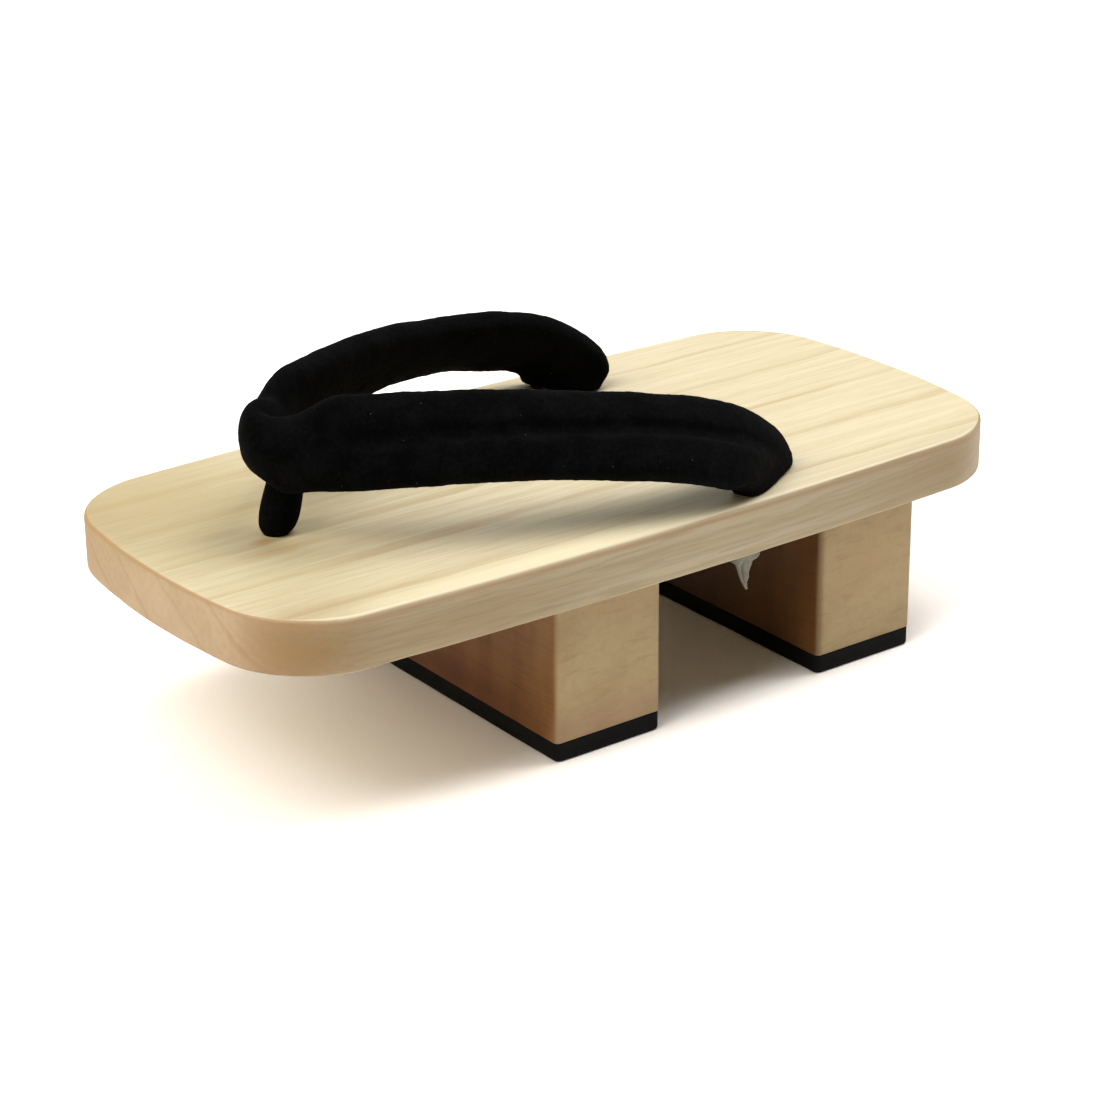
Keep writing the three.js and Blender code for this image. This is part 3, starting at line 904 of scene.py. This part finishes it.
# Toe post: a padded roll with a round foot, which leans back a little from the front hole
def toe_post():
    """Skin of the toe post."""
    rows = catmull(POST_ROWS, POST_STEPS)
    points, faces = turned([(radius, BOARD_TOP + rise) for radius, rise in rows], FRONT_HOLE)
    share = np.clip((points[:, 2] - BOARD_TOP) / POST_HEIGHT, 0, 1)
    out = points - (*FRONT_HOLE, 0.0)
    out[:, 2] = 0.0
    out /= np.linalg.norm(out, axis=1)[:, None]
    points = points + out * (POST_LUMP_DEPTH * share * lumps(points, POST_LUMP_SIZE, POST_SEED))[:, None]
    points[:, 0] += POST_LEAN * share
    return points, faces


post = make_piece("toe_post_roll", toe_post(), strap_velvet, "strap_velvet", "toe_post")


# Knots: twisted cord tied under each hole
def tube(path, radii, sides=20, strands=3, twist=0.55, relief=0.14):
    """A rope along a path, with its strands twisted round each other."""
    tangents = np.gradient(path, axis=0)
    tangents /= np.linalg.norm(tangents, axis=1)[:, None]
    side = np.cross(tangents[0], ASKEW)
    side /= np.linalg.norm(side)
    turns = np.linspace(0, 2 * math.pi, sides, endpoint=False)
    travelled = np.concatenate([[0], np.cumsum(np.linalg.norm(np.diff(path, axis=0), axis=1))])
    rings = []
    for spot, tangent, radius, run in zip(path, tangents, radii, travelled):
        side = side - tangent * (side @ tangent)
        side /= np.linalg.norm(side)
        other = np.cross(tangent, side)
        lobes = 1 - relief * (1 - np.abs(np.cos(strands / 2 * (turns + twist * run))))
        reach = (radius * lobes)[:, None]
        rings.append(spot + reach * (np.cos(turns)[:, None] * side + np.sin(turns)[:, None] * other))
    return skin(np.array(rings))


def tail_strands():
    """Skins of the loose strands under a knot."""
    shares = np.linspace(0, 1, TAIL_POINTS)[:, None]
    bend = shares ** 2 * (1 - shares) * TAIL_BEND
    radii = np.linspace(TAIL_THICK, TAIL_THIN, TAIL_POINTS)
    parts = []
    for strand in range(TAIL_STRANDS):
        turn = 2 * math.pi * strand * TAIL_TURN_SHARE
        spread = TAIL_SPREAD * math.sqrt((strand + 0.5) / TAIL_STRANDS)
        start = np.array([KNOT_SHIFT + spread * math.cos(turn), spread * math.sin(turn), TAIL_TOP])
        length = TAIL_MEAN_LENGTH + TAIL_LENGTH_CHANGE * math.cos(strand * TAIL_LENGTH_TURN)
        line = start + (np.array(TAIL_TIP) - start) * length * shares + bend
        parts.append(tube(line, radii, sides=8, strands=2, twist=0.9))
    return parts


def knot(hole, tail):
    """A cord that comes down its hole, winds twice round itself and ends below, with or without a tail."""
    route = list(CORD_START)
    for step in range(COIL_POINTS):
        turn = math.radians(COIL_FIRST_TURN + COIL_STEP_TURN * step)
        share = step / (COIL_POINTS - 1)
        reach = COIL_RADIUS - COIL_NARROWING * share
        height = COIL_TOP - COIL_DEPTH * share
        route.append((KNOT_SHIFT + reach * math.cos(turn), reach * math.sin(turn), height))
    route.extend(CORD_STOP)
    path = catmull(route, CORD_STEPS)
    parts = [tube(path, np.full(len(path), CORD_RADIUS))]
    if tail:
        parts.extend(tail_strands())
    points, faces = joined(parts)
    return points + (*hole, BOARD_BOTTOM), faces


make_piece("knot_front_cord", knot(FRONT_HOLE, False), knot_cord, "knot_cord", "knot_front")
rear_knot = knot(REAR_HOLE, True)
make_piece("knot_rear_left_cord", rear_knot, knot_cord, "knot_cord", "knot_rear_left")
make_piece("knot_rear_right_cord", mirrored(rear_knot), knot_cord, "knot_cord", "knot_rear_right")

# Stage: pale floor, soft lights and the camera
FLOOR_HALF = 6000.0
FLOOR_TONE = tone(0.96, 0.92, 0.89)
FILL_TONE = tone(0.95, 0.86, 0.66)
FILL_STRENGTH = 0.10
WHITE = (1.0, 1.0, 1.0)
WARM = (1.06, 1.0, 0.86)

# The camera stands where the photograph was taken and turns to hold the one sandal
CAMERA_AZIMUTH = math.radians(143.59)
CAMERA_ELEVATION = math.radians(22.72)
CAMERA_ROLL = math.radians(0.54)
CAMERA_DISTANCE = 0.791
CAMERA_AIM = Vector((0.0, 0.0, 0.030))
CAMERA_LENS = 98.0
CAMERA_SENSOR = 36.0
CAMERA_CLIP = 0.01


def add_floor():
    """A broad pale floor, which isn't part of the sandal."""
    near, far = -FLOOR_HALF, FLOOR_HALF
    corners = np.array([(near, near, 0), (far, near, 0), (far, far, 0), (near, far, 0)])
    floor = make_object("floor", (corners, [(0, 1, 2, 3)]))
    shader = Shader("floor_paper")
    shader.set(Base_Color=FLOOR_TONE, Roughness=0.9, Specular_IOR_Level=0.1)
    floor.data.materials.append(shader.material)


def add_sun(name, tilt, turn, energy, spread, colour=WHITE):
    """A soft light far away, tilted from straight overhead and turned from the toe to the left, in
    degrees."""
    data = bpy.data.lights.new(name, "SUN")
    data.energy = energy
    data.color = colour
    data.angle = math.radians(spread)
    lamp = bpy.data.objects.new(name, data)
    lamp.rotation_euler = (0.0, math.radians(tilt), math.radians(turn))
    bpy.context.scene.collection.objects.link(lamp)


def add_world():
    """Faint light from all round, before a backdrop that shows white."""
    world = bpy.data.worlds.new("studio")
    world.use_nodes = True
    tree = world.node_tree
    fill = tree.nodes["Background"]
    fill.inputs["Color"].default_value = FILL_TONE
    fill.inputs["Strength"].default_value = FILL_STRENGTH
    backdrop = tree.nodes.new("ShaderNodeBackground")
    backdrop.inputs["Color"].default_value = tone(*WHITE)
    path = tree.nodes.new("ShaderNodeLightPath")
    shown = tree.nodes.new("ShaderNodeMixShader")
    tree.links.new(path.outputs["Is Camera Ray"], shown.inputs[0])
    tree.links.new(fill.outputs[0], shown.inputs[1])
    tree.links.new(backdrop.outputs[0], shown.inputs[2])
    tree.links.new(shown.outputs[0], tree.nodes["World Output"].inputs["Surface"])
    bpy.context.scene.world = world


def add_camera():
    """A camera that looks at the middle of the sandal."""
    data = bpy.data.cameras.new("camera")
    data.lens = CAMERA_LENS
    data.sensor_width = CAMERA_SENSOR
    data.clip_start = CAMERA_CLIP
    camera = bpy.data.objects.new("camera", data)
    back = Vector((math.sin(CAMERA_AZIMUTH) * math.cos(CAMERA_ELEVATION),
                   -math.cos(CAMERA_AZIMUTH) * math.cos(CAMERA_ELEVATION), math.sin(CAMERA_ELEVATION)))
    right = Vector((math.cos(CAMERA_AZIMUTH), math.sin(CAMERA_AZIMUTH), 0.0))
    turn = Matrix((right, back.cross(right), back)).transposed() @ Matrix.Rotation(-CAMERA_ROLL, 3, "Z")
    camera.matrix_world = Matrix.Translation(CAMERA_AIM + back * CAMERA_DISTANCE) @ turn.to_4x4()
    bpy.context.scene.collection.objects.link(camera)
    bpy.context.scene.camera = camera


add_floor()
add_world()
add_sun("heel_high", tilt=28, turn=180, energy=1.75, spread=35)
add_sun("toe_high", tilt=28, turn=0, energy=1.8, spread=35)
add_sun("heel_low", tilt=46, turn=180, energy=1.22, spread=45)
add_sun("far_low", tilt=49, turn=240, energy=0.73, spread=45)
add_sun("toe_low", tilt=58, turn=354, energy=2.5, spread=45, colour=WARM)
add_sun("overhead", tilt=0, turn=0, energy=0.7, spread=40)
add_camera()
bpy.context.scene.view_settings.view_transform = "Standard"
